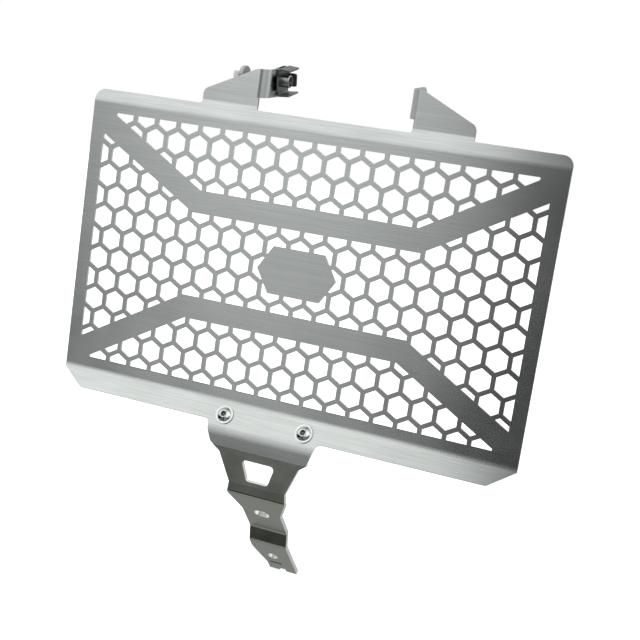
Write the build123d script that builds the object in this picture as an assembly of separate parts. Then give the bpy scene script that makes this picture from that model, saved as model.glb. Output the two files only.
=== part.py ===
"""Motorcycle radiator guard: a pierced and folded steel panel, its lower bracket and its fixings.

Millimetres. X runs to the right as the guard is seen from the front, Z runs up and +Y runs back, towards
the radiator. The origin is the middle of the panel's back face.
"""
import os
from math import cos, radians, sin, sqrt, tan

from build123d import *

# Panel sheet and the window that holds its mesh
sheet = 1.5
panel_width = 306.0
side_border = 8.7           # from the panel's sides to its window
window_width = panel_width - 2 * side_border
window_height = 158.2

# Hexagonal mesh: opening across its flats, and the metal between two openings
cell_flats = 12.5
web = 2.8
least_opening = 14.0        # area under which a clipped opening is left solid

# Solid bands across the mesh: the middle stretch is level and the arms rise to the window's corners
band_width = 14.0
band_height = 33.0          # centre line of the level stretch, from the middle of the panel
band_corner = 73.0          # where the centre line turns, from the middle of the panel
band_angle = 30.0

# Plain field in the middle of the mesh
field_width = 52.0
field_height = 29.0
field_point = 9.0           # length of the pointed ends

# Lips: fold line from the middle of the panel, width beyond it, and angle from the panel
top_fold = 85.8
top_lip = 7.5
top_angle = 15.0
top_corner = 6.4            # radius of the lip's corners
bottom_fold = 86.4
bottom_lip = 13.3
bottom_angle = 27.0
bottom_cut_width = 15.6     # cut corners of the lip, along its edge
bottom_cut_height = 11.8    # and up its ends
bottom_round = 4.0
lip_bend = 6.0              # inside radius of the lips' bends

# Upper tabs, each measured from the outer face of its flange
left_flange = -37.0         # place of each flange's outer face in X
right_flange = 53.5
tab_neck = 2.4              # distance from the lip's edge to the bend that sets the tab upright
tab_fold = 3.0              # inside radius of that bend
tab_reach = 41.5            # from the flange's face to the tab's far side
tab_relief = 4.2            # from the flange's face to the tab's near side, below the flange
tab_top = 117.6
tab_slope = 25.0
tab_shoulder = 101.6        # height at which the slope would meet the tab's far side
shoulder_round = 4.5
tab_root = 1.6              # radius where a tab leaves the lip
root_share = 0.9            # largest share of its flat that such a radius may take

# Flanges, bent straight back from the upper tabs
flange_bend = 4.2           # inside radius of the bend
flange_low = 100.6          # lower edge at the bend
flange_length = 27.0        # from the tab's front face to the flange's end, along its middle
flange_rise = 8.0           # angle at which both edges rise towards the back
flange_round = 5.0
hole_setback = 19.0         # from the tab's front face to the hole, along the flange
hole_lift = 1.5             # from the flange's middle line up to the hole
flange_hole = 6.6

# Lower tab
tab_middle = -5.2           # middle of the lower tab and of the bracket in X
crease = 19.8               # from the lip's fold to the tab's crease, along the sheet
lower_angle = 10.0          # angle of the tab below its crease
lower_length = 9.6          # from the crease to the lower edge
lower_root_width = 74.0
lower_crease_width = 71.2
lower_edge_width = 65.0
lower_root = 4.6            # radius where the tab leaves the lip
lower_round = 4.0

# Lower bracket: length and lean of each leg, from the crease down
plate = 3.0
bracket_bend = 3.0          # inside radius of the bends
bracket_head = 16.0         # from the bracket's upper edge to its crease
neck_length = 32.4
bridge_length = 7.2
bridge_angle = 6.0
step_length = 41.0
step_angle = 46.5
riser_length = 11.2
riser_angle = 12.0
foot_length = 38.0
foot_angle = 47.5

# Bracket outline: widths down its length
head_width = 64.0
shoulder_height = 113.9     # how far below the middle of the panel the head starts to narrow
collar_width = 54.0
collar_height = 117.6       # how far below the middle of the panel the collar's corner lies
waist_width = 38.5
bridge_width = 40.0         # at the bridge's lower end
strap_width = 26.4
taper_length = 18.0         # along the step, from the bridge to the strap
toe_cut_width = 6.4         # slanted cut at the foot's left side
toe_cut_start = 9.0         # along the foot
toe_cut_end = 30.0
toe_round = 2.0

# Bracket openings, each placed along its own leg
window_top_width = 23.0
window_bottom_width = 14.4
window_depth = 14.0
window_start = 15.6         # from the crease to the window's upper edge
window_round = 2.4
slot_length = 10.5
slot_width = 7.0
slot_place = 20.0           # from the start of the step
foot_hole = 7.0
foot_hole_place = 17.6      # from the start of the foot
slit_length = 8.8
slit_width = 1.0
slit_place = 27.4
notch_width = 4.4
notch_depth = 2.8

# Screws through the lower tab, and their nuts
screw_spacing = 54.0
screw_place = 8.9           # from the lip's fold, along the sheet
screw_thread = 5.0
screw_hole = 5.5
screw_flange = 11.8
screw_flange_height = 0.9
screw_dome = 9.4
screw_shoulder = 7.8        # where the dome's side turns in
screw_shoulder_height = 2.0
screw_crown = 4.5           # flat on top of the dome
screw_head_height = 2.8
screw_socket = 3.0
screw_socket_depth = 1.6
screw_length = 12.0
nut_flats = 8.0
nut_height = 4.0

# Clip on the left flange
clip_sheet = 1.1
clip_gap = 0.1              # between the clip's legs and the flange
clip_play = 0.7             # between the clip's closed end and the flange's end
clip_width = 17.2           # along the leg's front edge
clip_mouth = 15.8           # between the side walls' outer edges, which lean in
clip_front = 0.6            # from the nut's collar to the front of the clip's legs
clip_wall = 8.0             # height of the side walls above the flange
clip_wall_bend = 0.6
clip_tab = 7.0              # height of the tab that stands at the closed end
clip_tab_width = 8.0
clip_tab_round = 1.2
clip_turn = 7.0             # how far the clip is turned on its bolt, past the line of the flange
clip_drop = 0.7             # how far the clip's middle lies below its bolt
clip_tongue = 3.8           # lead-in at the leg's front
clip_tongue_width = 9.2
clip_tongue_angle = 20.0
clip_hole = 6.6

# Nut in the clip, and its bolt
thread = 6.0
collar = 7.6
collar_length = 5.9
collar_chamfer = 0.4
bolt_flange = 12.4
bolt_flange_height = 3.2
bolt_flange_chamfer = 0.8
bolt_flats = 8.0
bolt_head_height = 7.2
bolt_length = 28.0
bolt_point = 0.6            # chamfer of the bolt's end
bolt_reach = 2.1            # how far the bolt's end lies inside the nut's outer face
thread_gap = 0.05           # radial room between each thread and its nut


def walk(start, legs):
    """Corners of a side view path that starts at (y, z) and goes down in legs of (length, lean)."""
    points = [start]
    for length, lean in legs:
        y, z = points[-1]
        points.append((y + length * sin(radians(lean)), z - length * cos(radians(lean))))
    return points


def strip(points, radii, thickness):
    """Section of a bent sheet: one side follows the points, the other lies a thickness to their left.

    Each radius is the inside radius of the bend at that corner.
    """
    path = [Vector(*p) for p in points]
    ways = [(b - a).normalized() for a, b in zip(path, path[1:])]
    normals = [Vector(-w.Y, w.X) for w in ways]
    far = [path[0] + normals[0] * thickness]
    near_radii = []
    far_radii = []
    for corner, first, second, n1, n2, radius in zip(path[1:], ways, ways[1:], normals, normals[1:], radii):
        far.append(corner + (n1 + n2) * (thickness / (1 + n1.dot(n2))))
        turns_left = first.cross(second).Z > 0
        near_radii.append(radius + thickness if turns_left else radius)
        far_radii.append(radius if turns_left else radius + thickness)
    far.append(path[-1] + normals[-1] * thickness)
    corner_radii = [0, *near_radii, 0, 0, *reversed(far_radii), 0]
    return make_face(FilletPolyline(*path, *reversed(far), radius=corner_radii, close=True))


def shape(*corners):
    """Flat outline from corners of (x, y) or (x, y, radius)."""
    points = [corner[:2] for corner in corners]
    radii = [corner[2] if len(corner) > 2 else 0 for corner in corners]
    return make_face(FilletPolyline(*points, radius=radii, close=True))


def across(section, x_from, x_to):
    """Solid of a side view section between two places in X."""
    return extrude(Plane.YZ.offset(x_from) * section, x_to - x_from)


def front_cutter(outline):
    """Solid of a front view outline, long enough in Y to pass through every fold."""
    depth = 4 * (step_length + foot_length + flange_length)
    return extrude(Plane.XZ.offset(-depth / 2) * outline, depth)


def lean_plane(point, lean, x=0.0):
    """Plane on a sheet's front face at (y, z): its X is the part's, its Y runs up the sheet."""
    y, z = point
    return Plane(origin=(x, y, z), x_dir=(1, 0, 0), z_dir=(0, -cos(radians(lean)), -sin(radians(lean))))


def corner_edges(part, places, point, lean):
    """Edges through the sheet's thickness at places in X, where its front face has (y, z) and a lean."""
    y, z = point
    middles = [
        Vector(x, y + sheet / 2 * cos(radians(lean)), z + sheet / 2 * sin(radians(lean))) for x in places
    ]
    return [part.edges().sort_by_distance(middle)[0] for middle in middles]


# Side view of the panel, on its front face, from the top lip's edge down
front = -sheet
fold_high = (front, top_fold)
fold_low = (front, -bottom_fold)
lip_edge = (front + top_lip * sin(radians(top_angle)), top_fold + top_lip * cos(radians(top_angle)))
main_path = [lip_edge, fold_high, *walk(fold_low, [(bottom_lip, -bottom_angle)])]
low_edge = main_path[-1]

# Front face of the upper tabs, and the bend below it
neck = top_lip + tab_neck
tab_bend = (front + neck * sin(radians(top_angle)), top_fold + neck * cos(radians(top_angle)))
tab_front = tab_bend[0]

# Nested bends at the crease: the tab's inside radius is the bracket's outside radius
crease_bend = bracket_bend + plate
crease_path = walk(fold_low, [(crease, -bottom_angle), (lower_length, lower_angle)])
crease_point = crease_path[1]

# Back face of the lower tab's two flats, where the bracket lies
crease_turn = radians(bottom_angle + lower_angle)
seat_shift = sheet * tan(crease_turn / 2)
crease_seat = (
    crease_point[0] + sheet * cos(radians(bottom_angle)) + seat_shift * sin(radians(bottom_angle)),
    crease_point[1] - sheet * sin(radians(bottom_angle)) + seat_shift * cos(radians(bottom_angle)),
)
bracket_legs = [
    (bracket_head, -bottom_angle),
    (neck_length, lower_angle),
    (bridge_length, bridge_angle),
    (step_length, step_angle),
    (riser_length, riser_angle),
    (foot_length, foot_angle),
]
bracket_top = walk(crease_seat, [(-bracket_head, -bottom_angle)])[1]
bracket_path = walk(bracket_top, bracket_legs)

# Screw axes, square to the bottom lip
screw_seat = walk(fold_low, [(screw_place, -bottom_angle)])[1]
screw_planes = [
    lean_plane(screw_seat, -bottom_angle, tab_middle + side * screw_spacing / 2) for side in (-1, 1)
]

# Middle line of the flanges in side view, and the hole that the clip and its bolt share on the left one
flange_way = Vector(cos(radians(flange_rise)), sin(radians(flange_rise)))
flange_start = Vector(tab_front, (flange_low + tab_top) / 2)
flange_up = flange_way.rotate(Axis.Z, 90)
hole_point = flange_start + flange_way * hole_setback + flange_up * hole_lift


def mesh_openings():
    """Hexagonal openings, pointed end up, clipped by the window, the bands and the plain field."""
    pitch = cell_flats + web
    row = pitch * sqrt(3) / 2
    columns = int(window_width / pitch / 2) + 2
    rows = int(window_height / row / 2) + 2
    cells = Sketch() + [
        Pos((i + (j + 1) % 2 / 2) * pitch, j * row) * RegularPolygon(cell_flats / 2, 6, False, rotation=30)
        for i in range(-columns, columns + 1)
        for j in range(-rows, rows + 1)
    ]
    rise = tan(radians(band_angle))
    mitre = band_width / 2 * tan(radians(band_angle / 2))
    end = window_width
    bands = Sketch()
    for side in (-1, 1):
        inner = band_height - band_width / 2
        outer = band_height + band_width / 2
        inner_corner = band_corner + mitre
        outer_corner = band_corner - mitre
        bands += shape(
            (-end, side * (inner + (end - inner_corner) * rise)),
            (-inner_corner, side * inner),
            (inner_corner, side * inner),
            (end, side * (inner + (end - inner_corner) * rise)),
            (end, side * (outer + (end - outer_corner) * rise)),
            (outer_corner, side * outer),
            (-outer_corner, side * outer),
            (-end, side * (outer + (end - outer_corner) * rise)),
        )
    half = field_width / 2
    field = shape(
        (-half, 0),
        (-half + field_point, field_height / 2),
        (half - field_point, field_height / 2),
        (half, 0),
        (half - field_point, -field_height / 2),
        (-half + field_point, -field_height / 2),
    )
    openings = cells & (Rectangle(window_width, window_height) - bands - field)
    return Sketch() + [face for face in openings.faces() if face.area > least_opening]


def upper_tab():
    """Upper tab with its flange's outer face at X = 0 and the tab to the left of it."""
    bend_start = flange_bend + sheet
    slope = tan(radians(tab_slope))
    slope_end = -tab_reach + (tab_top - tab_shoulder) / slope
    outline = shape(
        (-tab_reach, 0),
        (-tab_reach, tab_shoulder, shoulder_round),
        (slope_end, tab_top, shoulder_round),
        (-bend_start, tab_top),
        (-bend_start, flange_low),
        (-tab_relief, flange_low),
        (-tab_relief, 0),
    )
    section = strip([(tab_front, tab_top), tab_bend, lip_edge], [tab_fold], sheet)
    tab = across(section, -tab_reach, -tab_relief) & front_cutter(outline)

    past_end = tab_front + 2 * flange_length
    corner = strip([(-bend_start, tab_front), (0, tab_front), (0, past_end)], [flange_bend], sheet)
    half_width = flange_up * ((tab_top - flange_low) / 2 * flange_way.X)
    end = flange_start + flange_way * flange_length
    low_end = end - half_width
    high_end = end + half_width
    side_view = shape(
        (tab_front, flange_low),
        (low_end.X, low_end.Y, flange_round),
        (high_end.X, high_end.Y, flange_round),
        (tab_front, tab_top),
    )
    flange = extrude(corner, 2 * tab_top) & across(side_view, -bend_start, 0)
    hole = Pos(0, hole_point.X, hole_point.Y) * Rot(0, 90, 0) * Cylinder(flange_hole / 2, 4 * sheet)
    return tab + (flange - hole)


def lower_tab():
    """Lower tab, from the bottom lip's edge over the crease to its free edge."""
    section = strip([low_edge, *crease_path[1:]], [crease_bend], sheet)
    top = low_edge[1]
    bottom = crease_path[-1][1]
    outline = shape(
        (-lower_root_width / 2, 0),
        (-lower_root_width / 2, top),
        (-lower_crease_width / 2, crease_point[1]),
        (-lower_edge_width / 2, bottom),
        (-lower_edge_width / 2, bottom - sheet),
        (lower_edge_width / 2, bottom - sheet),
        (lower_edge_width / 2, bottom),
        (lower_crease_width / 2, crease_point[1]),
        (lower_root_width / 2, top),
        (lower_root_width / 2, 0),
    )
    tab = across(section, -lower_root_width / 2, lower_root_width / 2) & front_cutter(outline)
    ends = (-lower_edge_width / 2, lower_edge_width / 2)
    return fillet(corner_edges(tab, ends, crease_path[-1], lower_angle), lower_round)


def make_panel():
    """The whole guard sheet: panel, lips, tabs and flanges."""
    half = panel_width / 2
    panel = across(strip(main_path, [lip_bend, lip_bend], sheet), -half, half)
    ends = (-half, half)
    panel = fillet(corner_edges(panel, ends, lip_edge, -top_angle), top_corner)
    for side in (-1, 1):
        corner = shape(
            (side * (half - bottom_cut_width), 0),
            (side * half, bottom_cut_height),
            (side * half, 0),
        )
        panel -= extrude(lean_plane(low_edge, -bottom_angle) * corner, 2 * sheet, both=True)
    cut_ends = (bottom_cut_width - half, half - bottom_cut_width)
    panel = fillet(corner_edges(panel, cut_ends, low_edge, -bottom_angle), bottom_round)

    panel += Pos(left_flange, 0, 0) * upper_tab()
    panel += Pos(right_flange, 0, 0) * mirror(upper_tab(), Plane.YZ)
    panel += Pos(tab_middle, 0, 0) * lower_tab()

    upper_roots = [
        flange + side * reach
        for flange, side in ((left_flange, -1), (right_flange, 1))
        for reach in (tab_reach, tab_relief)
    ]
    neck_flat = tab_neck - (tab_fold + sheet) * tan(radians(top_angle / 2))
    upper_edges = corner_edges(panel, upper_roots, lip_edge, -top_angle)
    panel = fillet(upper_edges, min(tab_root, root_share * neck_flat))
    lower_roots = [tab_middle + side * lower_root_width / 2 for side in (-1, 1)]
    root_flat = crease - bottom_lip - (crease_bend + sheet) * tan(crease_turn / 2)
    lower_edges = corner_edges(panel, lower_roots, low_edge, -bottom_angle)
    panel = fillet(lower_edges, min(lower_root, root_share * root_flat))

    for plane in screw_planes:
        panel -= plane * Cylinder(screw_hole / 2, 4 * sheet)
    return panel - extrude(Plane.XZ * mesh_openings(), sheet, both=True)


def make_bracket():
    """Lower bracket: one strip folded in steps, narrowed from head to strap."""
    folds = [bracket_bend] * (len(bracket_legs) - 1)
    blank = across(strip(bracket_path, folds, plate), -head_width / 2, head_width / 2)
    waist = bracket_path[2][1]
    step_start = bracket_path[3]
    taper_end = walk(step_start, [(taper_length, step_angle)])[1]
    toe = bracket_path[-1]
    cut_start = walk(bracket_path[5], [(toe_cut_start, foot_angle)])[1]
    cut_end = walk(bracket_path[5], [(toe_cut_end, foot_angle)])[1]
    past_end = toe[1] - 2 * plate
    outline = shape(
        (-head_width / 2, 0),
        (-head_width / 2, -shoulder_height),
        (-collar_width / 2, -collar_height),
        (-waist_width / 2, waist),
        (-bridge_width / 2, step_start[1]),
        (-strap_width / 2, taper_end[1]),
        (-strap_width / 2, cut_start[1], toe_round),
        (-strap_width / 2 + toe_cut_width, cut_end[1], toe_round),
        (-strap_width / 2 + toe_cut_width, past_end),
        (strap_width / 2, past_end),
        (strap_width / 2, taper_end[1]),
        (bridge_width / 2, step_start[1]),
        (waist_width / 2, waist),
        (collar_width / 2, -collar_height),
        (head_width / 2, -shoulder_height),
        (head_width / 2, 0),
    )
    bracket = blank & front_cutter(outline)

    neck_plane = lean_plane(crease_seat, lower_angle)
    opening = shape(
        (-window_top_width / 2, -window_start, window_round),
        (window_top_width / 2, -window_start, window_round),
        (window_bottom_width / 2, -window_start - window_depth, window_round),
        (-window_bottom_width / 2, -window_start - window_depth, window_round),
    )
    bracket -= extrude(neck_plane * opening, 2 * plate, both=True)

    step_plane = lean_plane(walk(step_start, [(slot_place, step_angle)])[1], step_angle)
    bracket -= extrude(step_plane * SlotOverall(slot_length, slot_width), 2 * plate, both=True)

    foot_plane = lean_plane(bracket_path[5], foot_angle)
    cuts = (
        Pos(0, -foot_hole_place) * Circle(foot_hole / 2)
        + Pos(0, -slit_place) * SlotOverall(slit_length, slit_width)
        + Pos(toe_cut_width / 2, -foot_length) * Rectangle(notch_width, 2 * notch_depth)
    )
    bracket -= extrude(foot_plane * cuts, 2 * plate, both=True)
    for plane in screw_planes:
        bracket -= Pos(-tab_middle, 0, 0) * plane * Cylinder(screw_hole / 2, 8 * plate)
    return Pos(tab_middle, 0, 0) * bracket


def make_screw():
    """Flanged button head screw, seated at Z = 0 with its head up."""
    head = shape(
        (0, 0),
        (screw_flange / 2, 0),
        (screw_flange / 2, screw_flange_height),
        (screw_dome / 2, screw_flange_height),
        (screw_shoulder / 2, screw_shoulder_height),
        (screw_crown / 2, screw_head_height),
        (0, screw_head_height),
    )
    screw = revolve(Plane.XZ * head, Axis.Z)
    socket = extrude(RegularPolygon(screw_socket / 2, 6, False), -screw_socket_depth)
    screw -= Pos(0, 0, screw_head_height) * socket
    shank = Cylinder(screw_thread / 2, screw_length, align=(Align.CENTER, Align.CENTER, Align.MAX))
    return screw + shank


def make_nut():
    """Hexagon nut that seats at Z = 0 and stands below it."""
    outline = RegularPolygon(nut_flats / 2, 6, False) - Circle(screw_thread / 2 + thread_gap)
    return extrude(outline, -nut_height)


def make_clip():
    """Spring clip over the left flange: a walled leg, a closed end with a tab, and a plain leg behind.

    The section is drawn in X from the flange's outer face and Y from the bolt, and runs up along Z.
    """
    inner = clip_gap
    back = flange_length - hole_setback + clip_play
    front_end = -collar / 2 - clip_front
    far = -sheet - clip_gap
    tongue = (
        inner + clip_tongue * sin(radians(clip_tongue_angle)),
        front_end - clip_tongue * cos(radians(clip_tongue_angle)),
    )
    bend = clip_gap
    folded = strip(
        [(far, front_end), (far, back), (inner, back), (inner, front_end)], [bend, bend], clip_sheet
    )
    clip = extrude(folded, clip_mouth / 2, both=True)
    lead = strip([(inner, 0), (inner, front_end), tongue], [bend], clip_sheet)
    clip += extrude(lead, clip_tongue_width / 2, both=True)
    wall_section = strip(
        [
            (clip_wall, clip_mouth / 2),
            (inner, clip_width / 2),
            (inner, -clip_width / 2),
            (clip_wall, -clip_mouth / 2),
        ],
        [clip_wall_bend, clip_wall_bend],
        clip_sheet,
    )
    wall_depth = back + clip_sheet - front_end
    clip += extrude(Plane.XZ.offset(-front_end - wall_depth) * wall_section, wall_depth)
    tab = shape(
        (0, -clip_tab_width / 2),
        (clip_tab, -clip_tab_width / 2, clip_tab_round),
        (clip_tab, clip_tab_width / 2, clip_tab_round),
        (0, clip_tab_width / 2),
    )
    clip += extrude(Plane.XZ.offset(-back - clip_sheet) * tab, clip_sheet)
    return Pos(0, 0, -clip_drop) * clip - Rot(0, 90, 0) * Cylinder(clip_hole / 2, 4 * clip_wall)


def make_clip_nut():
    """Nut on the clip's leg: a round threaded collar, with its axis on X."""
    start = clip_gap + clip_sheet
    nut = Cylinder(collar / 2, collar_length, align=(Align.CENTER, Align.CENTER, Align.MIN))
    nut = chamfer(nut.edges().group_by(Axis.Z)[-1], collar_chamfer)
    nut -= Cylinder(thread / 2 + thread_gap, 4 * collar_length)
    return Pos(start, 0, 0) * Rot(0, 90, 0) * nut


def make_bolt():
    """Flanged hexagon bolt on X, run in from the left until its end lies in the nut."""
    end = clip_gap + clip_sheet + collar_length - bolt_reach
    low = (Align.CENTER, Align.CENTER, Align.MIN)
    head = Cylinder(bolt_flange / 2, bolt_flange_height, align=low)
    head = chamfer(head.edges().group_by(Axis.Z)[-1], bolt_flange_chamfer)
    head += extrude(RegularPolygon(bolt_flats / 2, 6, False), bolt_head_height)
    shank = Cylinder(thread / 2, bolt_length, align=(Align.CENTER, Align.CENTER, Align.MAX))
    shank = chamfer(shank.edges().group_by(Axis.Z)[0], bolt_point)
    return Pos(end - bolt_length, 0, 0) * Rot(0, -90, 0) * (head + shank)


def at_flange(part, turn=0.0):
    """Moves a part from the left flange's hole at the origin to its place."""
    return Pos(left_flange, hole_point.X, hole_point.Y) * Rot(turn, 0, 0) * part


nodes = {
    "guard_panel": make_panel(),
    "lower_bracket": make_bracket(),
    "bracket_screws": Compound([plane * make_screw() for plane in screw_planes]),
    "bracket_nuts": Compound([plane * Pos(0, 0, -sheet - plate) * make_nut() for plane in screw_planes]),
    "clip_cage": at_flange(make_clip(), flange_rise + clip_turn),
    "clip_nut": at_flange(make_clip_nut(), flange_rise + clip_turn),
    "clip_bolt": at_flange(make_bolt()),
}

os.makedirs("parts", exist_ok=True)
for name, part in nodes.items():
    export_step(part, f"parts/{name}.step")
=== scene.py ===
"""Radiator guard: finishes for the folded steel parts, turned fasteners, a pale studio and the camera.

The part's own frame: X right, Y back, Z up. Lengths are millimetres where shapes and places are given, and
metres in the finishes and the studio, as Blender has them.
"""

import bpy
import numpy as np
from mathutils import Matrix, Vector


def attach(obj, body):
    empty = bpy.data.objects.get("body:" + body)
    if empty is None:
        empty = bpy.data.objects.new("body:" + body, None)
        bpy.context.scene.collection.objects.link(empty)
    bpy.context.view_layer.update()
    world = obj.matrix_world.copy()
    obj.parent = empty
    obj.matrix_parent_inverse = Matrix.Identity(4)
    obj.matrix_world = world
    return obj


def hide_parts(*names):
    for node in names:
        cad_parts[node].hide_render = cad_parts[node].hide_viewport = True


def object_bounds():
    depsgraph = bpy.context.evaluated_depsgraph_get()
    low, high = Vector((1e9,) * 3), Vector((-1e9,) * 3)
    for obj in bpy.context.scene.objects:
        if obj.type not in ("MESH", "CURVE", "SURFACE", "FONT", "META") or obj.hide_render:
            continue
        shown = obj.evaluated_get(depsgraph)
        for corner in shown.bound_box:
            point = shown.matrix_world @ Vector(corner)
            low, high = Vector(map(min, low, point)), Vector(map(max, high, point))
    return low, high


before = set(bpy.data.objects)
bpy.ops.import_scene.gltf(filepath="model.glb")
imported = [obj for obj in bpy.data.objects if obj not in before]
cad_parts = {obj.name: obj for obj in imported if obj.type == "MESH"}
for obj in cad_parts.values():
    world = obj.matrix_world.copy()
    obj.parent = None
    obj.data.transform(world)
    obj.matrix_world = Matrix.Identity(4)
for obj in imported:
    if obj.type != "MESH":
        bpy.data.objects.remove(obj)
cad_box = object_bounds()

MM = 0.001
COLUMNS = 72                # steps around every turned shape, twelve to each side of a hexagon
COLUMN_ANGLES = np.arange(COLUMNS) * 2 * np.pi / COLUMNS
CONE_SLOPE = np.sqrt(3)     # how fast a 30 degree cone widens with depth
THREAD_DEPTH = 0.61         # depth of a thread for each millimetre of pitch
THREAD_STEPS = 8            # rows in one pitch
SHARP_EDGE = np.radians(32.0)


# Shapes

def hexagon_reach(flats):
    """Distance from a hexagon's middle to its outline, for each column, with a corner at angle zero.

    Formula: half the width across flats, divided by the cosine of the angle from the nearest flat's middle.
    """
    from_flat = COLUMN_ANGLES % (np.pi / 3) - np.pi / 6
    return flats / 2 / np.cos(from_flat)


def round_rows(profile):
    """Rows of a turned shape: each (radius, height) is the same for every column."""
    profile = np.asarray(profile, float)
    radii = np.repeat(profile[:, :1], COLUMNS, axis=1)
    heights = np.repeat(profile[:, 1:], COLUMNS, axis=1)
    return radii, heights


def hexagon_rows(flats, heights, cone_radius, cone_height, outward):
    """Rows of a hexagonal head whose corners are turned off by a cone.

    Formula: the radius is the smaller of the hexagon's reach and a 30 degree cone. The cone has cone_radius
    at cone_height and widens from there into the head; outward is 1 for an end that faces up, and -1 for
    one that faces down.
    """
    heights = np.asarray(heights, float)[:, None]
    cone = cone_radius + np.maximum((cone_height - heights) * outward, 0) * CONE_SLOPE
    radii = np.minimum(hexagon_reach(flats)[None, :], cone)
    return radii, np.repeat(heights, COLUMNS, axis=1)


def thread_rows(size, pitch, top, bottom):
    """Rows of a thread from top down to bottom.

    Formula: the radius is the thread's crest less its depth times a flattened triangle wave, whose phase is
    the height over the pitch plus the angle over a full turn, so the ridge climbs one pitch each turn. The
    depth fades to nothing over the first turn.
    """
    steepness, crest_width = 2.6, 0.15
    rows = int((top - bottom) / pitch * THREAD_STEPS)
    height = np.linspace(top, bottom, rows)[:, None]
    turn = np.arange(COLUMNS)[None, :] / COLUMNS
    phase = (height / pitch + turn) % 1
    groove = np.clip(np.abs(phase - 0.5) * steepness - crest_width, 0, 1)
    fade = np.clip((top - height) / pitch, 0, 1)
    radii = size / 2 - THREAD_DEPTH * pitch * groove * fade
    return radii, np.repeat(height, COLUMNS, axis=1)


def arc_profile(start, end, radius, count):
    """Points of an arc that bulges to the left of the way from start to end, both ends left out.

    Formula: the centre lies on the chord's bisector, and the angle runs evenly between the two ends.
    """
    start, end = np.asarray(start, float), np.asarray(end, float)
    chord = end - start
    half = np.hypot(*chord) / 2
    left = np.array([-chord[1], chord[0]]) / (2 * half)
    centre = (start + end) / 2 - left * np.sqrt(radius ** 2 - half ** 2)
    first = np.arctan2(*(start - centre)[::-1])
    last = np.arctan2(*(end - centre)[::-1])
    angle = np.linspace(first, last, count + 2)[1:-1]
    return centre + radius * np.c_[np.cos(angle), np.sin(angle)]


def turned_surface(rows, origin, axes, ring=False):
    """Points, quads and triangles of rows of (radii, heights) carried once around an axis.

    Formula: a point is the origin, plus its radius along the first two axes turned by the column's angle,
    plus its height along the third axis. The columns close on themselves; the rows close on themselves as a
    ring, or end in a pole at each end.
    """
    radii = np.vstack([r for r, _ in rows])
    heights = np.vstack([h for _, h in rows])
    count = len(radii)
    origin = np.asarray(origin, float)
    across, up, along = (np.asarray(axis, float) for axis in axes)
    points = (
        origin
        + (radii * np.cos(COLUMN_ANGLES))[..., None] * across
        + (radii * np.sin(COLUMN_ANGLES))[..., None] * up
        + heights[..., None] * along
    ).reshape(-1, 3)
    column = np.arange(COLUMNS)
    after = (column + 1) % COLUMNS
    row = np.arange(count if ring else count - 1)[:, None]
    below = (row + 1) % count
    corners = [(row, column), (below, column), (below, after), (row, after)]
    quads = np.stack([r * COLUMNS + c for r, c in corners], axis=-1).reshape(-1, 4)
    if ring:
        return points, quads, np.empty((0, 3), int)
    poles = np.array([heights[0].mean(), heights[-1].mean()])[:, None] * along + origin
    first, last = len(points), len(points) + 1
    low = (count - 1) * COLUMNS
    caps = np.vstack(
        [
            np.c_[np.full(COLUMNS, first), column, after],
            np.c_[np.full(COLUMNS, last), low + after, low + column],
        ]
    )
    return np.vstack([points, poles]), quads, caps


def put_mesh(name, surfaces, material, node):
    """One object from surfaces of (points, quads, triangles), standing for a node of the frame."""
    points, corners, sizes = [], [], []
    start = 0
    for place, quads, triangles in surfaces:
        points.append(place)
        corners += [(quads + start).ravel(), (triangles + start).ravel()]
        sizes += [np.full(len(quads), 4), np.full(len(triangles), 3)]
        start += len(place)
    points = np.vstack(points) * MM
    corners = np.concatenate(corners).astype(np.int32)
    sizes = np.concatenate(sizes)
    mesh = bpy.data.meshes.new(name)
    mesh.vertices.add(len(points))
    mesh.vertices.foreach_set("co", points.astype(np.float32).ravel())
    mesh.loops.add(len(corners))
    mesh.loops.foreach_set("vertex_index", corners)
    mesh.polygons.add(len(sizes))
    mesh.polygons.foreach_set("loop_start", (np.cumsum(sizes) - sizes).astype(np.int32))
    mesh.update(calc_edges=True)
    mesh.validate()
    mesh.polygons.foreach_set("use_smooth", np.ones(len(sizes), bool))
    mesh.set_sharp_from_angle(angle=SHARP_EDGE)
    mesh.materials.append(material)
    piece = bpy.data.objects.new(name, mesh)
    bpy.context.collection.objects.link(piece)
    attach(piece, "root")
    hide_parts(node)


# Node helpers

def node(tree, kind, **settings):
    """New node with its own settings."""
    made = tree.nodes.new(kind)
    for key, value in settings.items():
        setattr(made, key, value)
    return made


def give(tree, socket, value):
    """Links an input to another socket, or sets it to a constant."""
    if isinstance(value, bpy.types.NodeSocket):
        tree.links.new(value, socket)
    else:
        socket.default_value = value


def feed(tree, made, **values):
    """A node whose named inputs are given sockets or constants; an underscore stands for a space."""
    for key, value in values.items():
        give(tree, made.inputs[key.replace("_", " ")], value)
    return made


def calc(tree, operation, *values):
    """Arithmetic on sockets and numbers."""
    made = node(tree, "ShaderNodeMath", operation=operation)
    for socket, value in zip(made.inputs, values):
        give(tree, socket, value)
    return made.outputs[0]


def vector_calc(tree, operation, first, second):
    """Arithmetic on two vectors; the outputs are a Vector and a Value."""
    made = node(tree, "ShaderNodeVectorMath", operation=operation)
    give(tree, made.inputs[0], first)
    give(tree, made.inputs[1], second)
    return made.outputs


def ranged(tree, value, low, high, to_low=0.0, to_high=1.0, smooth=False):
    """Value carried from one range to another, held at both ends."""
    made = node(tree, "ShaderNodeMapRange", clamp=True)
    made.interpolation_type = "SMOOTHSTEP" if smooth else "LINEAR"
    feed(tree, made, Value=value, From_Min=low, From_Max=high, To_Min=to_low, To_Max=to_high)
    return made.outputs["Result"]


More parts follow.
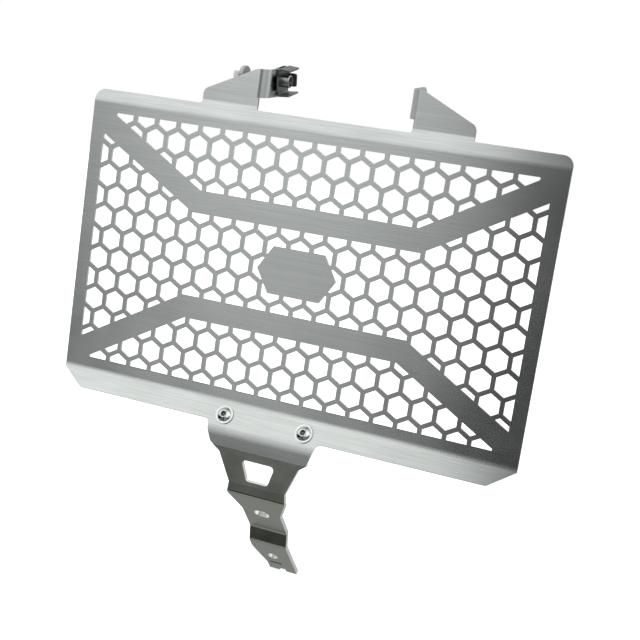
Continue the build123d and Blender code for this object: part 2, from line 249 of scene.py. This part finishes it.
def mixed(tree, factor, first, second, kind="RGBA", blend="MIX"):
    """Mix of two colours, values or vectors, each a socket or a constant."""
    made = node(tree, "ShaderNodeMix", data_type=kind, blend_type=blend)
    first_in, second_in, out = {"RGBA": (6, 7, 2), "FLOAT": (2, 3, 0), "VECTOR": (4, 5, 1)}[kind]
    for index, value in ((0, factor), (first_in, first), (second_in, second)):
        give(tree, made.inputs[index], value)
    return made.outputs[out]


def parts_of(tree, vector):
    """The X, Y and Z of a vector."""
    return feed(tree, node(tree, "ShaderNodeSeparateXYZ"), Vector=vector).outputs


def reordered(tree, axes, order):
    """Vector whose X, Y and Z are taken from other axes, in the order given."""
    made = node(tree, "ShaderNodeCombineXYZ")
    return feed(tree, made, X=axes[order[0]], Y=axes[order[1]], Z=axes[order[2]]).outputs[0]


def noise(tree, vector, scale, detail, roughness):
    """Smooth noise about one half."""
    made = node(tree, "ShaderNodeTexNoise")
    return feed(tree, made, Vector=vector, Scale=scale, Detail=detail, Roughness=roughness).outputs["Fac"]


def bumped(tree, height, strength, distance, **normal):
    """Normal with fine relief on the surface's own normal, or on another where one is given."""
    made = node(tree, "ShaderNodeBump")
    return feed(tree, made, Height=height, Strength=strength, Distance=distance, **normal).outputs[0]


def group(name, inputs, outputs):
    """Empty shader node group with named sockets, and its two end nodes."""
    tree = bpy.data.node_groups.new(name, "ShaderNodeTree")
    kinds = {"value": "NodeSocketFloat", "vector": "NodeSocketVector"}
    for way, sockets in (("INPUT", inputs), ("OUTPUT", outputs)):
        for label, kind in sockets:
            tree.interface.new_socket(label, in_out=way, socket_type=kinds[kind])
    return tree, tree.nodes.new("NodeGroupInput").outputs, tree.nodes.new("NodeGroupOutput")


def placed(tree, shared, **values):
    """Outputs of a shared group in a material, with sockets or constants for its inputs."""
    return feed(tree, node(tree, "ShaderNodeGroup", node_tree=shared), **values).outputs


# Effects that several finishes share

NOISE_SPREAD = (0.3, 0.7)   # the part of the noise's range that an effect uses


def brushing_group():
    """Brushed lines along the first coordinate: fine scratches and broader bands of them.

    Noise is stretched by the line's length along the first coordinate and by its width along the others.
    """
    tree, start, end = group(
        "brushed_lines",
        [("Place", "vector"), ("Length", "value"), ("Width", "value")],
        [("Fine", "value"), ("Broad", "value")],
    )
    for label, longer, wider, detail in (("Fine", 1.0, 1.0, 3.0), ("Broad", 3.0, 7.0, 2.0)):
        along = calc(tree, "DIVIDE", 1.0 / longer, start["Length"])
        across = calc(tree, "DIVIDE", 1.0 / wider, start["Width"])
        spread = feed(tree, node(tree, "ShaderNodeCombineXYZ"), X=along, Y=across, Z=across)
        scaled = vector_calc(tree, "MULTIPLY", start["Place"], spread.outputs[0])["Vector"]
        grain = noise(tree, scaled, scale=1.0, detail=detail, roughness=0.65)
        feed(tree, end, **{label: ranged(tree, grain, *NOISE_SPREAD)})
    return tree


def haze_group():
    """Cloudy marks of handling and polishing: slow noise with finer noise in it."""
    tree, start, end = group("haze", [("Place", "vector"), ("Size", "value")], [("Haze", "value")])
    scaled = node(tree, "ShaderNodeVectorMath", operation="SCALE")
    feed(tree, scaled, Vector=start["Place"], Scale=calc(tree, "DIVIDE", 1.0, start["Size"]))
    cloud = noise(tree, scaled.outputs[0], scale=1.0, detail=3.0, roughness=0.5)
    feed(tree, end, Haze=ranged(tree, cloud, *NOISE_SPREAD, smooth=True))
    return tree


def cut_group():
    """Cut edge of a sheet: fine grain on the edge, shown where the mask is one."""
    tree, start, end = group("cut_edge", [("Place", "vector"), ("Mask", "value")], [("Ribs", "value")])
    grain = noise(tree, start["Place"], scale=2600.0, detail=2.0, roughness=0.6)
    feed(tree, end, Ribs=calc(tree, "MULTIPLY", grain, start["Mask"]))
    return tree


BRUSHING = brushing_group()
HAZE = haze_group()
CUT = cut_group()


def new_material(name):
    """Material with its output, its shader and the object coordinates."""
    material = bpy.data.materials.new(name)
    material.use_nodes = True
    tree = material.node_tree
    tree.nodes.clear()
    shader = tree.nodes.new("ShaderNodeBsdfPrincipled")
    feed(tree, tree.nodes.new("ShaderNodeOutputMaterial"), Surface=shader.outputs[0])
    place = tree.nodes.new("ShaderNodeTexCoord").outputs["Object"]
    return material, tree, shader, place


# Places of the fasteners and of the slit in the bracket's foot, and ways the sheets face

LIP_LEAN, BEND_LEAN, TAB_LEAN, FOOT_LEAN = np.radians([27.0, 8.0, 11.0, 47.5])
LIP_FRONT = (0, -np.cos(LIP_LEAN), np.sin(LIP_LEAN))
BEND_FRONT, TAB_FRONT = [(0, -np.cos(lean), -np.sin(lean)) for lean in (BEND_LEAN, TAB_LEAN)]
DOWN_FOOT = (0, np.sin(FOOT_LEAN), -np.cos(FOOT_LEAN))
UPRIGHT = (0, 0, 1)

SCREW_MIDDLE, SCREW_SPACING = -5.2, 54.0
SCREW_SEATS = [(SCREW_MIDDLE + side * SCREW_SPACING / 2, -5.540, -94.330) for side in (-1, 1)]
SCREW_AXES = [(1, 0, 0), (0, np.sin(LIP_LEAN), np.cos(LIP_LEAN)), LIP_FRONT]
SHEETS = 4.5                # the tab and the bracket's plate under each screw head
BOLT_SEAT = (-60.0, 19.669, 113.230)
BOLT_AXES = [(0, 0, 1), (0, 1, 0), (-1, 0, 0)]
BOLT_HEAD = -63.2           # X where the hexagon starts, above the flange
SLIT_MIDDLE = (-5.2, 50.738, -199.927)


# Finishes

def panel_finish():
    """Brushed stainless sheet: lines run along the sheet, its cut edges are grainy, its upright bends duller.

    The walls of the openings are brighter where they face right, a painted highlight. Below the bottom lip
    the sheet shades as one slow bend, from the lip's lean to the lower tab's.
    """
    line_tones = (0.507, 0.534, 0.52, 1), (0.595, 0.626, 0.61, 1)
    band_tones = (0.94, 0.94, 0.94, 1), (1, 1, 1, 1)
    wall_and_painted_highlight_tones = (0.46, 0.47, 0.45, 1), (0.94, 0.97, 0.96, 1)       # facing other ways, and facing right
    line_roughness, haze_roughness = (0.25, 0.205), (-0.015, 0.035)
    wall_roughness, bend_roughness, lip_bend_share = 0.5, 0.2, 2.0
    behind_sheet, above_mesh = (0.0028, 0.0034), (0.086, 0.0845)
    lip_end, bend_middle, tab_start = -0.1001, -0.1069, -0.1135
    # How far the surface faces along an axis, where each mask starts and where it ends
    flange_side, right_side, bend_side = 0.7, (0.3, 0.6), (0.04, 0.2)
    flat_facing, bend_facing, front_facing = (0.2, 0.4), (0.3, 0.7), (-0.7, -0.8)

    material, tree, shader, place = new_material("brushed_sheet")
    facing_way = node(tree, "ShaderNodeNewGeometry").outputs["Normal"]
    level = vector_calc(tree, "CROSS_PRODUCT", facing_way, UPRIGHT)["Vector"]
    normal, spot = parts_of(tree, facing_way), parts_of(tree, place)
    side, facing = calc(tree, "ABSOLUTE", normal["X"]), calc(tree, "ABSOLUTE", normal["Y"])
    on_flange = calc(tree, "GREATER_THAN", side, flange_side)
    way = mixed(tree, on_flange, place, reordered(tree, spot, "YXZ"), "VECTOR")
    lines = placed(tree, BRUSHING, Place=way, Length=0.035, Width=0.00045)
    haze = placed(tree, HAZE, Place=place, Size=0.05)["Haze"]
    in_sheet = ranged(tree, spot["Y"], *behind_sheet, 1.0, 0.0)
    cut = calc(tree, "MULTIPLY", ranged(tree, facing, *flat_facing, 1.0, 0.0), in_sheet)
    ribs = placed(tree, CUT, Place=place, Mask=cut)["Ribs"]

    tone = mixed(tree, lines["Fine"], *line_tones)
    tone = mixed(tree, 1.0, tone, mixed(tree, lines["Broad"], *band_tones), blend="MULTIPLY")
    faces_right = ranged(tree, normal["X"], *right_side)
    # painted highlight: walls of the openings that face right take a near-white tone
    painted_highlight_wall = calc(tree, "MULTIPLY", faces_right, ranged(tree, spot["Z"], *above_mesh))
    tone = mixed(tree, cut, tone, mixed(tree, painted_highlight_wall, *wall_and_painted_highlight_tones))

    past_lip = ranged(tree, spot["Z"], lip_end, bend_middle)
    past_bend = ranged(tree, spot["Z"], bend_middle, tab_start)
    over_bend = mixed(tree, past_lip, LIP_FRONT, BEND_FRONT, "VECTOR")
    turned_way = mixed(tree, past_bend, over_bend, TAB_FRONT, "VECTOR")
    on_front = ranged(tree, normal["Y"], *front_facing)
    below_lip = calc(tree, "MULTIPLY", on_front, calc(tree, "GREATER_THAN", past_lip, 0.0))
    eased = mixed(tree, below_lip, facing_way, turned_way, "VECTOR")

    dull = ranged(tree, lines["Fine"], 0, 1, *line_roughness)
    dull = calc(tree, "ADD", dull, ranged(tree, haze, 0, 1, *haze_roughness))
    off_flat, off_flange = ranged(tree, side, *bend_side), ranged(tree, facing, *bend_facing)
    upright_bend = calc(tree, "MULTIPLY", off_flat, off_flange)
    lip_bend = calc(tree, "MULTIPLY", past_lip, calc(tree, "SUBTRACT", 1.0, past_lip))
    bend = calc(tree, "ADD", upright_bend, calc(tree, "MULTIPLY", lip_bend, lip_bend_share))
    dull = calc(tree, "ADD", dull, calc(tree, "MULTIPLY", bend, bend_roughness))
    dull = mixed(tree, cut, dull, wall_roughness, "FLOAT")

    grain = calc(tree, "ADD", lines["Fine"], ribs)
    feed(tree, shader, Base_Color=tone, Roughness=dull, Metallic=1.0, Tangent=level)
    feed(tree, shader, Anisotropic=1.0, Anisotropic_Rotation=0.25)
    feed(tree, shader, Normal=bumped(tree, grain, strength=0.02, distance=0.00005, Normal=eased))
    return material


def bracket_finish():
    """Satin stainless plate: darker and smoother than the sheet, with faint lines down it and pale cut edges.

    The narrow slit in the foot gets painted shade, inside and around its rim.
    """
    line_tones = (0.285, 0.306, 0.264, 1), (0.33, 0.355, 0.31, 1)
    wall_tone, slit_shade_tone = (0.86, 0.87, 0.85, 1), (0.07, 0.075, 0.07, 1)
    haze_roughness, wall_roughness = (0.16, 0.24), 0.45
    slit_half_length, slit_half_width = (0.0049, 0.0044), (0.0012, 0.0008)
    # How far the surface faces along an axis, where each mask starts and where it ends
    side_facing, slant_facing, level_facing = (0.25, 0.6), (-0.43, -0.47), (0.8, 0.9)

    material, tree, shader, place = new_material("satin_plate")
    normal = parts_of(tree, node(tree, "ShaderNodeNewGeometry").outputs["Normal"])
    spot = parts_of(tree, place)
    lines = placed(tree, BRUSHING, Place=reordered(tree, spot, "ZXY"), Length=0.03, Width=0.0005)
    haze = placed(tree, HAZE, Place=place, Size=0.02)["Haze"]
    side_wall = ranged(tree, calc(tree, "ABSOLUTE", normal["X"]), *side_facing)
    slanted_wall = ranged(tree, calc(tree, "MULTIPLY", normal["Y"], normal["Z"]), *slant_facing)
    level_wall = ranged(tree, calc(tree, "ABSOLUTE", normal["Z"]), *level_facing)
    cut = calc(tree, "MAXIMUM", calc(tree, "MAXIMUM", side_wall, slanted_wall), level_wall)
    ribs = placed(tree, CUT, Place=place, Mask=cut)["Ribs"]

    tone = mixed(tree, lines["Fine"], *line_tones)
    tone = mixed(tree, cut, tone, wall_tone)
    aside = calc(tree, "ABSOLUTE", calc(tree, "SUBTRACT", spot["X"], SLIT_MIDDLE[0] * MM))
    down_foot = vector_calc(tree, "DOT_PRODUCT", place, DOWN_FOOT)["Value"]
    slit_down = float(np.dot(DOWN_FOOT, SLIT_MIDDLE)) * MM
    beyond = calc(tree, "ABSOLUTE", calc(tree, "SUBTRACT", down_foot, slit_down))
    in_length, in_width = ranged(tree, aside, *slit_half_length), ranged(tree, beyond, *slit_half_width)
    # painted shade in and around the narrow slit in the foot
    tone = mixed(tree, calc(tree, "MULTIPLY", in_length, in_width), tone, slit_shade_tone)

    dull = mixed(tree, cut, ranged(tree, haze, 0, 1, *haze_roughness), wall_roughness, "FLOAT")
    grain = calc(tree, "ADD", lines["Fine"], ribs)
    feed(tree, shader, Base_Color=tone, Roughness=dull, Metallic=1.0)
    feed(tree, shader, Normal=bumped(tree, grain, strength=0.03, distance=0.00005))
    return material


def screw_finish():
    """Bright turned stainless: faint cloudiness over a clean shine, and dull socket walls darkened by painted
    shade.
    """
    haze_tones, socket_shade_tone = ((0.56, 0.585, 0.565, 1), (0.64, 0.665, 0.645, 1)), (0.16, 0.165, 0.16, 1)
    haze_roughness, socket_roughness = (0.09, 0.14), 0.3
    socket_radius = 0.00182, 0.00172

    material, tree, shader, place = new_material("bright_screw")
    haze = placed(tree, HAZE, Place=place, Size=0.0025)["Haze"]
    across, upward, along = (vector_calc(tree, "DOT_PRODUCT", place, axis)["Value"] for axis in SCREW_AXES)
    _, seat_up, seat_along = (float(np.dot(axis, SCREW_SEATS[0])) * MM for axis in SCREW_AXES)
    from_middle = calc(tree, "ABSOLUTE", calc(tree, "SUBTRACT", across, SCREW_MIDDLE * MM))
    aside = calc(tree, "SUBTRACT", from_middle, SCREW_SPACING / 2 * MM)
    over = calc(tree, "SUBTRACT", upward, seat_up)
    squares = [calc(tree, "POWER", length, 2.0) for length in (aside, over)]
    off_axis = calc(tree, "SQRT", calc(tree, "ADD", *squares))
    in_head = calc(tree, "GREATER_THAN", calc(tree, "SUBTRACT", along, seat_along), 0.0)
    hollow = calc(tree, "MULTIPLY", ranged(tree, off_axis, *socket_radius), in_head)

    # painted shade on the walls of the sockets
    tone = mixed(tree, hollow, mixed(tree, haze, *haze_tones), socket_shade_tone)
    dull = mixed(tree, hollow, ranged(tree, haze, 0, 1, *haze_roughness), socket_roughness, "FLOAT")
    feed(tree, shader, Base_Color=tone, Roughness=dull, Metallic=1.0)
    feed(tree, shader, Normal=bumped(tree, haze, strength=0.05, distance=0.00005))
    return material


def clip_finish():
    """Dark grey coated spring steel: mottled, with a dull shine."""
    mottle_tones, wear_tone = ((0.13, 0.138, 0.132, 1), (0.18, 0.19, 0.183, 1)), (0.205, 0.215, 0.209, 1)
    mottle_roughness = 0.34, 0.48

    material, tree, shader, place = new_material("coated_clip")
    mottle = placed(tree, HAZE, Place=place, Size=0.0012)["Haze"]
    wear = placed(tree, HAZE, Place=place, Size=0.006)["Haze"]
    tone = mixed(tree, wear, mixed(tree, mottle, *mottle_tones), wear_tone)
    dull = ranged(tree, mottle, 0, 1, *mottle_roughness)
    feed(tree, shader, Base_Color=tone, Roughness=dull, Metallic=0.95)
    feed(tree, shader, Normal=bumped(tree, mottle, strength=0.15, distance=0.00008))
    return material


def bolt_finish():
    """Pale zinc plating: slightly clouded, with a soft shine, and a painted highlight on the bolt's hexagon.
    """
    mottle_tones, head_highlight_tone = ((0.30, 0.313, 0.306, 1), (0.367, 0.381, 0.374, 1)), (0.78, 0.80, 0.79, 1)
    mottle_roughness = 0.28, 0.40

    material, tree, shader, place = new_material("zinc_bolt")
    mottle = placed(tree, HAZE, Place=place, Size=0.002)["Haze"]
    in_head = calc(tree, "LESS_THAN", parts_of(tree, place)["X"], BOLT_HEAD * MM)
    # painted highlight: the bolt's hexagon is given a much paler tone than the rest of the zinc
    tone = mixed(tree, in_head, mixed(tree, mottle, *mottle_tones), head_highlight_tone)
    dull = ranged(tree, mottle, 0, 1, *mottle_roughness)
    feed(tree, shader, Base_Color=tone, Roughness=dull, Metallic=1.0)
    feed(tree, shader, Normal=bumped(tree, mottle, strength=0.1, distance=0.00006))
    return material


# Fasteners, each a profile of (radius, height) points above its seat

def screw_surface(seat):
    """Flanged button head screw: drilled hexagon socket, domed head, thin flange and threaded shank."""
    size, pitch, thread_start, thread_end, end = 5.0, 0.8, -1.2, -11.4, -12.0
    top, floor, flange, socket_flats = 2.8, 0.7, 0.9, 3.0
    dome_start, dome_end, dome_radius = (2.15, top), (4.55, 0.95), 5.0
    socket = hexagon_reach(socket_flats)[None, :]
    socket_rows = (
        np.vstack([socket * 0.5, socket * 0.97, socket, socket]),
        np.repeat(np.array([[floor - 0.35], [floor], [floor + 0.05], [top - 0.22]]), COLUMNS, axis=1),
    )
    dome = [dome_start, *arc_profile(dome_start, dome_end, dome_radius, 12), dome_end]
    rim = [(1.86, top - 0.02), (1.95, top), (2.1, top)]
    brim = [(4.65, flange), (4.7, flange), (5.72, flange), (5.78, flange), (5.87, 0.87), (5.9, 0.8)]
    seat_face = [(5.9, 0.1), (5.84, 0.0), (2.55, 0.0), (2.5, -0.05)]
    tail = [(2.5, -11.5), (2.1, end), (0.6, end)]
    head = round_rows(rim + dome + brim + seat_face)
    rows = [socket_rows, head, thread_rows(size, pitch, thread_start, thread_end), round_rows(tail)]
    return turned_surface(rows, seat, SCREW_AXES)


def nut_surface(seat):
    """Hexagon nut under the sheets: both ends turned to a cone, and a plain bore with eased ends."""
    flats, height, bore, bore_end, ease, cone = 8.0, 4.0, 2.56, 2.85, 0.35, 3.75
    seat = np.asarray(seat) - SHEETS * np.asarray(SCREW_AXES[2])
    down = -np.linspace(0, 0.55, 8)
    rows = [
        round_rows([(bore, -ease), (bore_end, 0.0)]),
        hexagon_rows(flats, down, cone, 0.0, 1.0),
        hexagon_rows(flats, -height - down[::-1], cone, -height, -1.0),
        round_rows([(bore_end, -height), (bore, -height + ease)]),
    ]
    return turned_surface(rows, seat, SCREW_AXES, ring=True)


def bolt_surface():
    """Flanged hexagon bolt: dished head with turned corners, thick flange and threaded shank."""
    size, pitch, thread_start, thread_end, end = 6.0, 1.0, -4.0, -27.2, -28.0
    flats, top, foot_height, cone = 8.0, 7.2, 3.5, 3.7
    crown = round_rows([(1.2, top - 0.3), (2.6, top - 0.28), (3.1, top), (3.6, top)])
    hexagon = hexagon_rows(flats, np.r_[top - np.linspace(0, 0.6, 9), foot_height], cone, top, 1.0)
    reach = hexagon_reach(flats)[None, :]
    foot = (np.vstack([reach + 0.05, reach + 0.3]), np.repeat([[3.32], [3.2]], COLUMNS, axis=1))
    flange = [(5.3, 3.2), (5.5, 3.15), (6.1, 2.5), (6.2, 2.3), (6.2, 0.2), (6.05, 0.0)]
    neck = [(3.05, 0.0), (3.0, -0.05)]
    tail = [(3.0, -27.3), (2.4, end), (0.8, end)]
    thread = thread_rows(size, pitch, thread_start, thread_end)
    rows = [crown, hexagon, foot, round_rows(flange + neck), thread, round_rows(tail)]
    return turned_surface(rows, BOLT_SEAT, BOLT_AXES)


# Assembly

finishes = {
    "guard_panel": panel_finish(),
    "lower_bracket": bracket_finish(),
    "clip_cage": clip_finish(),
    "clip_nut": bolt_finish(),
}
for name, finish in finishes.items():
    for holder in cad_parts[name].material_slots:
        holder.material = finish

screw_steel = screw_finish()
screws = [screw_surface(seat) for seat in SCREW_SEATS]
nuts = [nut_surface(seat) for seat in SCREW_SEATS]
put_mesh("button_screws", screws, screw_steel, "bracket_screws")
put_mesh("hexagon_nuts", nuts, screw_steel, "bracket_nuts")
put_mesh("flanged_bolt", [bolt_surface()], finishes["clip_nut"], "clip_bolt")


# Studio

def studio_floor(level):
    """Pale floor: a flat square grid that glows enough to stay near white and takes soft shadows."""
    reach, cells = 6.0, 8
    span = np.linspace(-reach, reach, cells + 1)
    x, y = np.meshgrid(span, span)
    points = np.stack([x, y, np.full_like(x, level)], axis=-1).reshape(-1, 3)
    after = cells + 1
    start = (np.arange(cells)[:, None] * after + np.arange(cells)[None, :]).ravel()
    quads = np.stack([start, start + 1, start + after + 1, start + after], axis=-1)
    mesh = bpy.data.meshes.new("studio_floor")
    mesh.from_pydata(points.tolist(), [], quads.tolist())
    material, tree, shader, _ = new_material("pale_floor")
    feed(tree, shader, Base_Color=(0.55, 0.55, 0.55, 1), Roughness=0.9, Specular_IOR_Level=0.0)
    feed(tree, shader, Emission_Color=(1, 1, 1, 1), Emission_Strength=0.82)
    mesh.materials.append(material)
    floor = bpy.data.objects.new("studio_floor", mesh)
    bpy.context.collection.objects.link(floor)
    floor.visible_glossy = False


def by_steps(tree, value, steps):
    """Value read off a smooth curve through (place, level) steps; places run from -1 to 1."""
    highest_level = 4.0
    made = node(tree, "ShaderNodeFloatCurve")
    curve = made.mapping.curves[0]
    made.mapping.clip_max_y = highest_level
    made.mapping.extend = "HORIZONTAL"
    for point, (place, level) in zip(curve.points, (steps[0], steps[-1])):
        point.location = ((place + 1) / 2, level)
    for place, level in steps[1:-1]:
        curve.points.new((place + 1) / 2, level)
    made.mapping.update()
    return feed(tree, made, Value=ranged(tree, value, -1, 1)).outputs[0]


# Levels of light by bearing, in half turns from straight ahead with right positive, and by height

LEFT = [(-1.0, 0.80), (-0.95, 0.35), (-0.90, 0.30), (-0.82, 0.62), (-0.65, 0.90), (-0.40, 0.90)]
FRONT_LOW = [
    (-0.30, 0.72), (-0.22, 0.62), (-0.18, 0.74), (-0.145, 1.05), (-0.125, 1.04), (-0.11, 0.98),
    (-0.085, 0.82), (-0.07, 0.44), (-0.058, 0.17), (-0.048, 0.11), (-0.036, 0.14), (-0.022, 0.42),
]
FRONT_HIGH = [
    (-0.21, 0.79), (-0.18, 0.82), (-0.13, 0.79), (-0.115, 0.76), (-0.098, 0.84), (-0.090, 0.74),
    (-0.083, 0.56), (-0.077, 0.20), (-0.068, 0.04), (-0.055, 0.0), (-0.02, 0.0), (0.02, 0.25),
]
RIGHT_LOW = [
    (0.0, 0.75), (0.06, 0.98), (0.22, 1.0), (0.30, 0.80),
    (0.38, 0.48), (0.46, 0.48), (0.56, 0.90), (0.66, 0.85),
]
RIGHT_HIGH = [(0.13, 0.70), (0.18, 0.90), (0.66, 0.90)]
BEHIND = [(0.76, 0.58), (0.88, 0.52), (0.92, 0.70), (1.0, 0.80)]
BY_HEIGHT = [
    (-1, 1.0), (-0.88, 0.90), (-0.78, 0.30), (-0.70, 0.05), (-0.655, 0.04), (-0.61, 0.30), (-0.57, 0.64),
    (-0.52, 0.46), (-0.46, 0.30), (-0.38, 0.23), (-0.2, 0.30), (0.0, 0.87), (0.2, 1.36), (0.5, 1.7), (1, 1.8),
]


def studio_world():
    """Soft light all round: pale screens to the left, right and behind, with dim gaps between them.

    The light of a direction is a curve of its bearing, one low and one high up, times a curve of its height.
    The front screen narrows below the horizon. Overhead the bearings are nearly alike, and the floor behind
    the part is evenly lit.
    """
    narrowing, narrow_edge = -3.5, -0.047
    far_left_level, right_level, floor_behind_level, seen_level = 0.02, 0.82, 0.51, 1.0
    overhead_levels = 0.12, 1.2

    world = bpy.data.worlds.new("studio")
    bpy.context.scene.world = world
    world.use_nodes = True
    tree = world.node_tree
    tree.nodes.clear()
    axis = parts_of(tree, node(tree, "ShaderNodeTexCoord").outputs["Generated"])
    bearing = calc(tree, "ARCTAN2", axis["X"], calc(tree, "MULTIPLY", axis["Y"], -1.0))
    turn = calc(tree, "DIVIDE", bearing, np.pi)

    # Bearing from the front screen's middle, which is at -0.13, held at the screen's two ends
    off_middle = ranged(tree, turn, -0.28, -0.04, -0.15, 0.09)
    depth = calc(tree, "MULTIPLY", calc(tree, "MINIMUM", axis["Z"], 0.0), narrowing)
    narrowed = calc(tree, "ADD", turn, calc(tree, "MULTIPLY", off_middle, depth))
    narrowed = calc(tree, "MINIMUM", narrowed, calc(tree, "MAXIMUM", turn, narrow_edge))
    ring_low = by_steps(tree, narrowed, LEFT + FRONT_LOW + RIGHT_LOW + BEHIND)

    under, over_ground = ranged(tree, axis["Z"], 0.0, -0.12), ranged(tree, axis["Z"], -0.55, -0.42)
    low = calc(tree, "MULTIPLY", under, over_ground)
    far_left = calc(tree, "MULTIPLY", ranged(tree, turn, -0.145, -0.19, smooth=True), low)
    ring_low = mixed(tree, far_left, ring_low, far_left_level, "FLOAT")
    to_right = calc(tree, "MULTIPLY", ranged(tree, turn, -0.135, -0.105, smooth=True), low)
    ring_low = calc(tree, "MULTIPLY", ring_low, ranged(tree, to_right, 0, 1, 1.0, right_level))

    ring_high = by_steps(tree, turn, LEFT + FRONT_HIGH + RIGHT_HIGH + BEHIND)
    high = ranged(tree, axis["Z"], 0.15, 0.4, smooth=True)
    ring = mixed(tree, high, ring_low, ring_high, "FLOAT")
    around = calc(tree, "MULTIPLY", ring, by_steps(tree, axis["Z"], BY_HEIGHT))
    overhead = ranged(tree, axis["Z"], 0.72, 0.95, smooth=True)
    total = mixed(tree, overhead, around, ranged(tree, ring, 0, 1, *overhead_levels), "FLOAT")
    below = ranged(tree, axis["Z"], -0.05, -0.22, smooth=True)
    behind = ranged(tree, axis["Y"], -0.02, 0.3, smooth=True)
    total = mixed(tree, calc(tree, "MULTIPLY", below, behind), total, floor_behind_level, "FLOAT")

    seen = node(tree, "ShaderNodeLightPath").outputs["Is Camera Ray"]
    strength = mixed(tree, seen, total, seen_level, "FLOAT")
    glow = feed(tree, node(tree, "ShaderNodeBackground"), Color=(1, 1, 1, 1), Strength=strength)
    feed(tree, node(tree, "ShaderNodeOutputWorld"), Surface=glow.outputs[0])


def softbox(name, place, aim, size, power):
    """Square lamp that faces a point."""
    lamp = bpy.data.lights.new(name, "AREA")
    lamp.shape = "SQUARE"
    lamp.size = size
    lamp.energy = power
    holder = bpy.data.objects.new(name, lamp)
    holder.location = place
    holder.rotation_euler = (Vector(aim) - Vector(place)).to_track_quat("-Z", "Y").to_euler()
    holder.visible_glossy = False
    bpy.context.collection.objects.link(holder)


def photo_camera():
    """Camera at the photograph's place, given by its position and its right and forward directions."""
    place = Vector((0.26987, -0.66935, 0.08388))
    right = Vector((0.91858, 0.3675, 0.14541))
    forward = Vector((-0.34021, 0.92251, -0.18233)).normalized()
    camera = bpy.data.cameras.new("camera")
    camera.sensor_width = 36.0
    camera.lens = 67.331
    camera.shift_y = 0.0625
    camera.clip_start = 0.01
    right = (right - forward * right.dot(forward)).normalized()
    turn = Matrix((right, right.cross(forward), -forward)).transposed()
    holder = bpy.data.objects.new("camera", camera)
    holder.matrix_world = Matrix.Translation(place) @ turn.to_4x4()
    bpy.context.collection.objects.link(holder)
    bpy.context.scene.camera = holder


studio_floor(cad_box[0][2])
studio_world()
softbox("soft_key", place=(-1.3, -1.2, 1.3), aim=(0, 0, 0), size=1.2, power=18)
photo_camera()
bpy.context.scene.view_settings.view_transform = "Standard"
